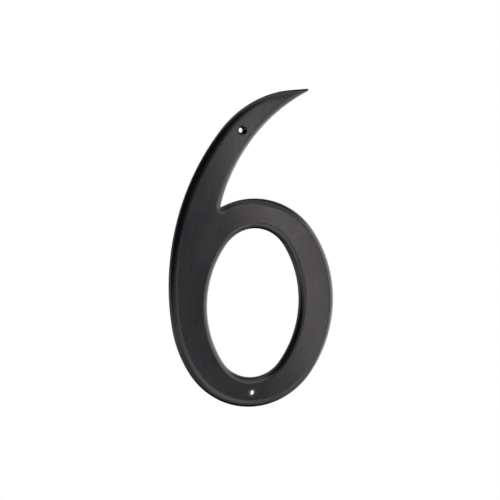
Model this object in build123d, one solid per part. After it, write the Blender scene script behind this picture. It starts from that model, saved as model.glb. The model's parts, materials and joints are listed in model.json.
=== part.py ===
from build123d import *
import os
from math import cos, radians, sin, sqrt

# House number: the digit six, pressed from thin sheet and nailed flat to a wall.
# It is drawn lying face up, in millimetres from the bowl's centre, with the wall at z = 0.
# Then it is stood up, facing -Y, with its origin on the wall, in the upper nail hole.

# Outline of the digit where it meets the wall; bowl and counter are ovals, each of four arcs
HEIGHT = 101.6  # foot of the bowl to the tip of the tail
BOWL_WIDTH = 56.4
BOWL_HEIGHT = 66.1
COUNTER_WIDTH = 31.7  # the counter is the eye of the six
COUNTER_HEIGHT = 47.15
OVAL_TURN = 36.0  # how far an oval's side turns, in degrees, before its end arc takes over

# Tail: its back leaves the bowl in one arc, a crown arc follows, and a straight run ends at the tip
BACK_START = 11.7  # how far below the middle of the bowl's left side the back leaves it, in degrees
BACK_TANGENT = 34.9  # end tangents of the back arc, which set where the crown takes over
TIP_X = 16.4
TIP_SLOPE = 7.0
TIP_RUN = 5.8
TIP_THICKNESS = 0.85
ROOT_X = -12.6  # where the tail's inner side meets the bowl
INNER_RADIUS = 57.5  # of the tail's inner side
CROTCH_RADIUS = 0.35

# Pressed section
DEPTH = 1.9  # wall to face
SHEET = 0.8
EDGE_RADIUS = 2.4  # outside of the rolled edge
COUNTER_EDGE_RADIUS = 2.0  # the same, round the counter
INSIDE_BEVEL = 1.0  # of the inner edges of the hollow

# Nail holes: the upper one in a dimple that is pressed back to the wall, the lower one in a shallow dish
TAIL_NAIL_DROP = 14.3  # from the tip down to the upper hole
FOOT_NAIL_X = 0.2
NAIL_HOLE = 1.5
DIMPLE = 3.3
DIMPLE_STEEPNESS = 75.0  # slope of the dimple's wall at the hole, easing towards its mouth
DISH = 4.2
DISH_DEPTH = 0.12
DISH_STEEPNESS = 10.0

# How far raw forms run past the wall and the tip before they are trimmed
LAP = 10.0


def direction(angle):
    """Unit vector at an angle in degrees from +X."""
    return Vector(cos(radians(angle)), sin(radians(angle)))


def left_of(way):
    """A way turned a quarter to its left."""
    return Vector(-way.Y, way.X)


def circle_centre(start, end, radius):
    """Centre of the circle through two points, on the right of the way from one to the other."""
    chord = end - start
    return (start + end) / 2 - left_of(chord.normalized()) * sqrt(radius**2 - chord.length**2 / 4)


def crossing(centre_a, radius_a, centre_b, radius_b):
    """Where two circles cross, on the left of the way from one centre to the other."""
    apart = (centre_b - centre_a).length
    way = (centre_b - centre_a) / apart
    along = (apart**2 + radius_a**2 - radius_b**2) / (2 * apart)
    return centre_a + way * along + left_of(way) * sqrt(radius_a**2 - along**2)


def oval_centres(width, height):
    """Centres of an oval's right and top arcs, placed so that the arcs run smoothly into each other."""
    turn = direction(OVAL_TURN)
    apart = (height - width) / 2 / (turn.X + turn.Y - 1)
    return Vector(-apart * turn.X, 0), Vector(0, apart * turn.Y)


def oval_corner(width, height):
    """Where an oval's right arc meets its top arc."""
    _, top = oval_centres(width, height)
    return top + direction(OVAL_TURN) * (height / 2 - top.Y)


def edged_bar(path, width, top, soften, edge):
    """A bar on the left of its path, with the top edge along the path softened."""
    section = Pos(width / 2, (top - LAP) / 2) * Rectangle(width, top + LAP)
    section = soften(section.vertices().sort_by_distance((0, top))[0], edge)
    along = path % 0
    start = Plane(origin=path @ 0, x_dir=left_of(along), z_dir=along)
    return sweep(start * section, path=path)


half_width = BOWL_WIDTH / 2
half_height = BOWL_HEIGHT / 2
bowl_right, bowl_top = oval_centres(BOWL_WIDTH, BOWL_HEIGHT)
bowl_corner = oval_corner(BOWL_WIDTH, BOWL_HEIGHT)
eye_corner = oval_corner(COUNTER_WIDTH, COUNTER_HEIGHT)
corner_out = direction(OVAL_TURN)

# Back of the tail: two tangent arcs lead from the bowl's left side to the straight run at the tip
back_out = direction(180 + BACK_START)
back_along = -left_of(back_out)
back_start = back_out * (half_width - bowl_right.X) - bowl_right
tip = Vector(TIP_X, HEIGHT - half_height)
tip_along = direction(TIP_SLOPE)
run_start = tip - tip_along * TIP_RUN
span = run_start - back_start
crown_tangent = (span.dot(span) / 2 - BACK_TANGENT * span.dot(back_along)) / (
    span.dot(tip_along) + BACK_TANGENT * (1 - back_along.dot(tip_along))
)
back_corner = back_start + back_along * BACK_TANGENT
joint_along = (run_start - tip_along * crown_tangent - back_corner).normalized()
joint = back_corner + joint_along * BACK_TANGENT

# Inner side of the tail: one arc from the bowl to the tip
top_radius = half_height - bowl_top.Y
root = Vector(ROOT_X, bowl_top.Y + sqrt(top_radius**2 - ROOT_X**2))
inner_centre = circle_centre(root, tip - Vector(0, TIP_THICKNESS), INNER_RADIUS)


def overhang(radius):
    """How far a roll that is larger than the depth would still run outward below the wall."""
    return radius - sqrt(radius**2 - max(radius - DEPTH, 0) ** 2)


def digit(grow, eye_grow, top, soften, edge, eye_edge):
    """The solid digit with softened face edges, its two outlines grown outward and its face at top."""
    inner_radius = INNER_RADIUS - grow
    start = back_start + back_out * grow
    crown_start = joint + left_of(joint_along) * grow

    # Where the crown starts, the tail is cut square to both its sides: its point is made by itself
    width = (crown_start - inner_centre).length - inner_radius
    middle = crown_start - left_of(joint_along) * width / 2
    inner_out = (middle - inner_centre).normalized()
    cut = inner_centre + inner_out * inner_radius

    # Bowl and lower tail
    crotch = crossing(bowl_top, top_radius + grow, inner_centre, inner_radius)
    corner = bowl_corner + corner_out * grow
    lower_corner = Vector(corner.X, -corner.Y)
    outline = [
        TangentArc(start, crown_start, tangent=back_along),
        Line(crown_start, middle),
        Line(middle, cut),
        TangentArc(cut, crotch, tangent=left_of(inner_out)),
        TangentArc(corner, crotch, tangent=left_of(corner_out)),
        ThreePointArc(lower_corner, (half_width + grow, 0), corner),
        ThreePointArc(-corner, (0, -half_height - grow), lower_corner),
        TangentArc(-corner, start, tangent=left_of(corner_out)),
    ]
    eye = eye_corner - corner_out * eye_grow
    eye_half = ThreePointArc((eye.X, -eye.Y), (COUNTER_WIDTH / 2 - eye_grow, 0), eye)
    eye_half += ThreePointArc(eye, (0, COUNTER_HEIGHT / 2 - eye_grow), (-eye.X, eye.Y))
    flat = make_face(outline) - make_face(eye_half + Rot(Z=180) * eye_half)
    bowl = extrude(Pos(0, 0, -LAP) * flat, amount=LAP + top, dir=(0, 0, 1))
    bowl = fillet(bowl.edges().filter_by(Axis.Z).sort_by_distance(crotch)[0], CROTCH_RADIUS - grow)
    rim = bowl.faces().sort_by(Axis.Z)[-1].outer_wire().edges()
    bowl = soften(rim.filter_by(GeomType.LINE, reverse=True), edge)
    eye_rim = bowl.faces().sort_by(Axis.Z)[-1].inner_wires()[0].edges()
    bowl = soften(eye_rim, eye_edge)

    # Tail point: where bars along the crown, along the inner side and across the tip overlap
    run = run_start + left_of(tip_along) * grow
    crown_path = Wire([
        Line(run + tip_along * (TIP_RUN + LAP), run),
        TangentArc(run, crown_start, tangent=-tip_along),
    ])
    past_tip = Vector(TIP_X + LAP, tip.Y)
    inner_end = inner_centre + (past_tip - inner_centre).normalized() * inner_radius
    inner_path = TangentArc(cut, inner_end, tangent=-left_of(inner_out))
    tip_path = Line((TIP_X + grow, tip.Y - HEIGHT), (TIP_X + grow, tip.Y + HEIGHT))
    point = edged_bar(tip_path, HEIGHT, top, soften, edge)
    for side in (crown_path, inner_path):
        point = point & edged_bar(side, 2 * width, top, soften, edge)
    return bowl + point


def nail_hollow(mouth, depth, steepness):
    """The space of a dimple or dish and of its hole, with the hole's centre on the wall at the origin."""
    hole_edge = (NAIL_HOLE / 2, DEPTH - depth)
    lip = (mouth / 2, DEPTH)
    wall = TangentArc(hole_edge, lip, tangent=direction(steepness))
    above = Polyline(lip, (mouth / 2, DEPTH + LAP), (0, DEPTH + LAP))
    below = Polyline((0, DEPTH + LAP), (0, -LAP), (NAIL_HOLE / 2, -LAP), hole_edge)
    return revolve(Plane.XZ * make_face(wall + above + below), axis=Axis.Z)


def nail_boss(mouth, depth):
    """The metal that a dimple or dish pushes back from the sheet towards the wall."""
    boss = Cone((NAIL_HOLE + SHEET) / 2, (mouth + SHEET) / 2, depth)
    return Pos(0, 0, DEPTH - SHEET - depth / 2) * boss


# Shell: the outside form less a bevelled form one sheet further in, trimmed at the wall
outside = digit(
    overhang(EDGE_RADIUS), overhang(COUNTER_EDGE_RADIUS), DEPTH, fillet, EDGE_RADIUS, COUNTER_EDGE_RADIUS
)
outside = split(outside, bisect_by=Plane.XY, keep=Keep.TOP)
number = outside - digit(-SHEET, -SHEET, DEPTH - SHEET, chamfer, INSIDE_BEVEL, INSIDE_BEVEL)

# Nail holes: one in the middle of the bowl's foot, the other midway across the tail
foot_nail = Vector(FOOT_NAIL_X, -(half_height + COUNTER_HEIGHT / 2) / 2)
tail_level = tip.Y - TAIL_NAIL_DROP
across_tail = Line((-HEIGHT, tail_level), (HEIGHT, tail_level)) & outside
tail_nail = across_tail @ 0.5
for nail, mouth, depth, steepness in (
    (foot_nail, DISH, DISH_DEPTH, DISH_STEEPNESS),
    (tail_nail, DIMPLE, DEPTH - SHEET, DIMPLE_STEEPNESS),
):
    number = number + Pos(nail) * nail_boss(mouth, depth) - Pos(nail) * nail_hollow(mouth, depth, steepness)

# Stood up on the wall, on its upper nail
number = Rot(X=90) * Pos(-tail_nail) * number

os.makedirs("parts", exist_ok=True)
export_step(number, "parts/house_number.step")
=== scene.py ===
import json
from math import cos, pi, radians, sin

import bpy
from mathutils import Matrix, Vector


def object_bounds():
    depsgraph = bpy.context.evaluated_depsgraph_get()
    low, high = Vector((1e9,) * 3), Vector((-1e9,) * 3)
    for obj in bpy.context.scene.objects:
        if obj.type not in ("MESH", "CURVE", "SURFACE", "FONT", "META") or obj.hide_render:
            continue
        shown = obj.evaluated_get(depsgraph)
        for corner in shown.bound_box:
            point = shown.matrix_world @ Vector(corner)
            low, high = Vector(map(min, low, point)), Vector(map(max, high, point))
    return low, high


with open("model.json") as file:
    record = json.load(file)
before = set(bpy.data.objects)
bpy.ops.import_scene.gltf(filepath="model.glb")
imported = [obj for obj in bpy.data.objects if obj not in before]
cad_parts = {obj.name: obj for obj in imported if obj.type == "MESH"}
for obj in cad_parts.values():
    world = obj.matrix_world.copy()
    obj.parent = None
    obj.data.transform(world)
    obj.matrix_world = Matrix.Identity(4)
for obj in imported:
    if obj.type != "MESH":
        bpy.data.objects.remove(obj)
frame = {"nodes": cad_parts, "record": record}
cad_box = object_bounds()

MM = 0.001
WHITE = (1, 1, 1, 1)
BLACK = (0, 0, 0, 1)
FRONT = (0, -1, 0)  # the way the digit faces

# Camera: the photograph looks at the digit from its left, a little from above, with a slight roll
CAMERA_TARGET = Vector((4.996, 0.0, -37.538)) * MM
CAMERA_YAW = radians(-24.0)
CAMERA_PITCH = radians(2.124)
CAMERA_ROLL = radians(2.143)
CAMERA_DISTANCE = 591.9 * MM
CAMERA_LENS = 135.0  # on a sensor 36 mm wide

# Floor: a table some way below the digit that stays out of the picture and fades to white at its edges
FLOOR_DROP = 260.0 * MM
FLOOR_SIZE = 1.5
FLOOR_COLOUR = (0.5, 0.5, 0.5, 1)
FLOOR_GLOW = (0.3, 1.0)  # what it adds to its own lit colour, in the middle and at the edges
FLOOR_FADE = (0.3, 0.7)  # how far from the middle the fading starts and ends

# Soft boxes and black cards all face the digit. Azimuth runs from its front to its right, angles are
# in degrees, lengths in metres, and a brightness of 1 is white.
# The key is a narrow box close to the digit, the strip a small one behind it
KEY = dict(azimuth=28, elevation=3.5, distance=0.15, width=0.017, height=0.24, roll=21, brightness=4.3)
STRIP = dict(azimuth=29, elevation=4, distance=0.40, width=0.05, height=0.07, roll=0, brightness=1.7)
SIDE = dict(azimuth=91, elevation=1.5, distance=0.43, width=0.95, height=0.40, roll=-5, brightness=1.9)
TABLE = dict(azimuth=2, elevation=-33, distance=0.26, width=0.18, height=0.33, roll=15, brightness=1.25)
# Three cards are the dark parts of the room, and the low one keeps the floor off the lower rims
ROOM_CARD = dict(azimuth=-58, elevation=31, distance=1.0, width=2.0, height=1.8, roll=23)
FRONT_CARD = dict(azimuth=15, elevation=-10, distance=0.8, width=1.1, height=1.15, roll=30)
TOP_CARD = dict(azimuth=143, elevation=52, distance=0.9, width=5.3, height=0.45, roll=-12)
LOW_CARD = dict(azimuth=165, elevation=-52, distance=0.23, width=0.30, height=0.34, roll=0)

# Paint: satin black with a breath of violet, laid on a little unevenly, and lightened along the shoulder as
# a painted highlight
PAINT_COLOUR = (0.0070, 0.0060, 0.0090, 1)
# a lighter colour painted on the shoulder as a highlight
SHOULDER_HIGHLIGHT_COLOUR = (0.0160, 0.0147, 0.0167, 1)
GLOSS_TINT = (1.0, 0.957, 0.955, 1)
ROUGHNESS = (0.24, 0.32)
BLOTCH = 9.0 * MM
BLOTCH_SEED = 3.0
STREAK = 2.2 * MM  # across the streaks, which run up the digit
STREAK_STRETCH = 7.0
STREAK_ROUGHNESS = 0.03
PEEL = 1.3 * MM  # ripples in the paint, like the skin of an orange
PEEL_HEIGHT = 0.0015 * MM
NOISE_REACH = (0.2, 0.8)  # values between which a noise mostly stays

# Painted highlight: tilts of the shoulder, in degrees from the face, over which it sets in and over which
# it ends
HIGHLIGHT_STARTS = (0.5, 4.0)
HIGHLIGHT_ENDS = (9.0, 20.0)
HIGHLIGHT_STRENGTH = (1.0, 0.6)  # from the glossy blotches to the dull ones
HIGHLIGHT_FREE = (2.1 * MM, 2.5 * MM)  # round the lower nail hole: its dish gets no painted highlight, and past it all is as usual

scene = bpy.context.scene
scene.view_settings.view_transform = "Standard"


def towards(azimuth, elevation):
    """Unit vector from the digit, azimuth 0 being its front and a quarter turn its right."""
    return Vector((
        sin(azimuth) * cos(elevation),
        -cos(azimuth) * cos(elevation),
        sin(elevation),
    ))


def aimed(place, target, roll):
    """A matrix that puts an object at place with its -Z towards target."""
    turn = (target - place).to_track_quat("-Z", "Y").to_matrix().to_4x4()
    return Matrix.Translation(place) @ turn @ Matrix.Rotation(roll, 4, "Z")


def facing_digit(azimuth, elevation, distance, roll):
    """A matrix for something that faces the digit from that direction and distance."""
    place = CAMERA_TARGET + towards(radians(azimuth), radians(elevation)) * distance
    return aimed(place, CAMERA_TARGET, radians(roll))


def soft_box(name, azimuth, elevation, distance, width, height, roll, brightness):
    """An area lamp of even brightness that faces the digit."""
    lamp = bpy.data.lights.new(name, "AREA")
    lamp.shape = "RECTANGLE"
    lamp.size = width
    lamp.size_y = height
    lamp.energy = pi * width * height * brightness
    box = bpy.data.objects.new(name, lamp)
    box.matrix_world = facing_digit(azimuth, elevation, distance, roll)
    box.visible_camera = False
    scene.collection.objects.link(box)


def panel(name, width, height, matrix, material):
    """A flat rectangle of the stage."""
    mesh = bpy.data.meshes.new(name)
    x, y = width / 2, height / 2
    mesh.from_pydata([(-x, -y, 0), (x, -y, 0), (x, y, 0), (-x, y, 0)], [], [(0, 1, 2, 3)])
    mesh.materials.append(material)
    sheet = bpy.data.objects.new(name, mesh)
    sheet.matrix_world = matrix
    scene.collection.objects.link(sheet)
    return sheet


def card(name, material, azimuth, elevation, distance, width, height, roll):
    """A card that faces the digit, is seen in its reflections only and casts no shadow."""
    sheet = panel(name, width, height, facing_digit(azimuth, elevation, distance, roll), material)
    sheet.visible_camera = False
    sheet.visible_shadow = False


def new_material(name):
    """An empty node material, its nodes, its links and its output."""
    material = bpy.data.materials.new(name)
    material.use_nodes = True
    nodes = material.node_tree.nodes
    nodes.clear()
    return material, nodes, material.node_tree.links, nodes.new("ShaderNodeOutputMaterial")


def combined(nodes, links, operation, first, second):
    """Socket of two values put together by a maths operation."""
    maths = nodes.new("ShaderNodeMath")
    maths.operation = operation
    links.new(first, maths.inputs[0])
    links.new(second, maths.inputs[1])
    return maths.outputs[0]


def seen(nodes, links):
    """Socket that is 1 for rays from the camera, a reflection or a refraction, and 0 for others."""
    path = nodes.new("ShaderNodeLightPath")
    total = path.outputs["Is Camera Ray"]
    for ray in ("Is Glossy Ray", "Is Transmission Ray"):
        total = combined(nodes, links, "MAXIMUM", total, path.outputs[ray])
    return total


def noise(nodes, links, place, size, seed=0.0):
    """Socket of a soft noise whose clouds are about that size."""
    cloud = nodes.new("ShaderNodeTexNoise")
    cloud.noise_dimensions = "4D"
    cloud.inputs["W"].default_value = seed
    cloud.inputs["Scale"].default_value = 1 / size
    links.new(place, cloud.inputs["Vector"])
    return cloud.outputs["Fac"]


def spread(nodes, links, value, given, wanted):
    """Socket of a value taken from one range to another, and held inside it."""
    spreader = nodes.new("ShaderNodeMapRange")
    spreader.inputs["From Min"].default_value, spreader.inputs["From Max"].default_value = given
    spreader.inputs["To Min"].default_value, spreader.inputs["To Max"].default_value = wanted
    links.new(value, spreader.inputs["Value"])
    return spreader.outputs["Result"]


# Camera
camera_data = bpy.data.cameras.new("camera")
camera_data.lens = CAMERA_LENS
camera = bpy.data.objects.new("camera", camera_data)
camera_place = CAMERA_TARGET + towards(CAMERA_YAW, CAMERA_PITCH) * CAMERA_DISTANCE
camera.matrix_world = aimed(camera_place, CAMERA_TARGET, CAMERA_ROLL)
scene.collection.objects.link(camera)
scene.camera = camera

# Paint
paint, nodes, links, output = new_material("painted_sheet")
shader = nodes.new("ShaderNodeBsdfPrincipled")
shader.inputs["Specular Tint"].default_value = GLOSS_TINT
links.new(shader.outputs["BSDF"], output.inputs["Surface"])
place = nodes.new("ShaderNodeTexCoord").outputs["Object"]

# Uneven gloss: broad blotches with faint streaks over them
blotches = noise(nodes, links, place, BLOTCH, BLOTCH_SEED)
stretch = nodes.new("ShaderNodeMapping")
stretch.inputs["Scale"].default_value = (1, 1, 1 / STREAK_STRETCH)
links.new(place, stretch.inputs["Vector"])
streaks = noise(nodes, links, stretch.outputs["Vector"], STREAK)
roughness = combined(
    nodes,
    links,
    "ADD",
    spread(nodes, links, blotches, NOISE_REACH, ROUGHNESS),
    spread(nodes, links, streaks, NOISE_REACH, (-STREAK_ROUGHNESS / 2, STREAK_ROUGHNESS / 2)),
)
links.new(roughness, shader.inputs["Roughness"])

# Painted highlight on the shoulder: a lighter colour where the face begins to turn into the rolled edge
facing = nodes.new("ShaderNodeVectorMath")
facing.operation = "DOT_PRODUCT"
facing.inputs[1].default_value = FRONT
links.new(nodes.new("ShaderNodeNewGeometry").outputs["Normal"], facing.inputs[0])
shoulder_highlight = spread(nodes, links, blotches, NOISE_REACH, HIGHLIGHT_STRENGTH)
for tilts, wanted in ((HIGHLIGHT_STARTS, (0, 1)), (HIGHLIGHT_ENDS, (1, 0))):
    cosines = [cos(radians(tilt)) for tilt in tilts]
    turned = spread(nodes, links, facing.outputs["Value"], cosines, wanted)
    shoulder_highlight = combined(nodes, links, "MULTIPLY", shoulder_highlight, turned)

# The lower nail hole's dish tilts like the shoulder and gets no painted highlight
mounts = {mount["name"]: mount for mount in frame["record"]["mounts"]}
dish_place = Vector(mounts["lower_nail_hole"]["pos_m"])
dish_place.y = cad_box[0].y
away = nodes.new("ShaderNodeVectorMath")
away.operation = "DISTANCE"
away.inputs[1].default_value = dish_place
links.new(place, away.inputs[0])
outside_dish = spread(nodes, links, away.outputs["Value"], HIGHLIGHT_FREE, (0, 1))
shoulder_highlight = combined(nodes, links, "MULTIPLY", shoulder_highlight, outside_dish)
colour = nodes.new("ShaderNodeMix")
colour.data_type = "RGBA"
colour.inputs["A"].default_value = PAINT_COLOUR
colour.inputs["B"].default_value = SHOULDER_HIGHLIGHT_COLOUR
links.new(shoulder_highlight, colour.inputs["Factor"])
links.new(colour.outputs["Result"], shader.inputs["Base Color"])

# Ripples
peel = nodes.new("ShaderNodeBump")
peel.inputs["Distance"].default_value = PEEL_HEIGHT
links.new(noise(nodes, links, place, PEEL), peel.inputs["Height"])
links.new(peel.outputs["Normal"], shader.inputs["Normal"])
number = frame["nodes"]["house_number"]
number.data.materials.clear()
number.data.materials.append(paint)

# White room
world = bpy.data.worlds.new("room")
world.use_nodes = True
scene.world = world
background = world.node_tree.nodes["Background"]
background.inputs["Color"].default_value = WHITE
background.inputs["Strength"].default_value = 1

# Floor
floor_paint, nodes, links, output = new_material("floor")
matt = nodes.new("ShaderNodeBsdfDiffuse")
matt.inputs["Color"].default_value = FLOOR_COLOUR
glow = nodes.new("ShaderNodeEmission")
reach = nodes.new("ShaderNodeVectorMath")
reach.operation = "LENGTH"
links.new(nodes.new("ShaderNodeTexCoord").outputs["Object"], reach.inputs[0])
fade = spread(nodes, links, reach.outputs["Value"], FLOOR_FADE, FLOOR_GLOW)
links.new(combined(nodes, links, "MULTIPLY", fade, seen(nodes, links)), glow.inputs["Strength"])
both = nodes.new("ShaderNodeAddShader")
links.new(matt.outputs["BSDF"], both.inputs[0])
links.new(glow.outputs["Emission"], both.inputs[1])
links.new(both.outputs["Shader"], output.inputs["Surface"])
floor_place = Vector((CAMERA_TARGET.x, CAMERA_TARGET.y, cad_box[0].z - FLOOR_DROP))
panel("floor", FLOOR_SIZE, FLOOR_SIZE, Matrix.Translation(floor_place), floor_paint)

# Black cards
card_paint, nodes, links, output = new_material("card")
black = nodes.new("ShaderNodeBsdfDiffuse")
black.inputs["Color"].default_value = BLACK
links.new(black.outputs["BSDF"], output.inputs["Surface"])
card("room card", card_paint, **ROOM_CARD)
card("front card", card_paint, **FRONT_CARD)
card("top card", card_paint, **TOP_CARD)
card("low card", card_paint, **LOW_CARD)

# Soft boxes
soft_box("key", **KEY)
soft_box("strip", **STRIP)
soft_box("side", **SIDE)
soft_box("table", **TABLE)
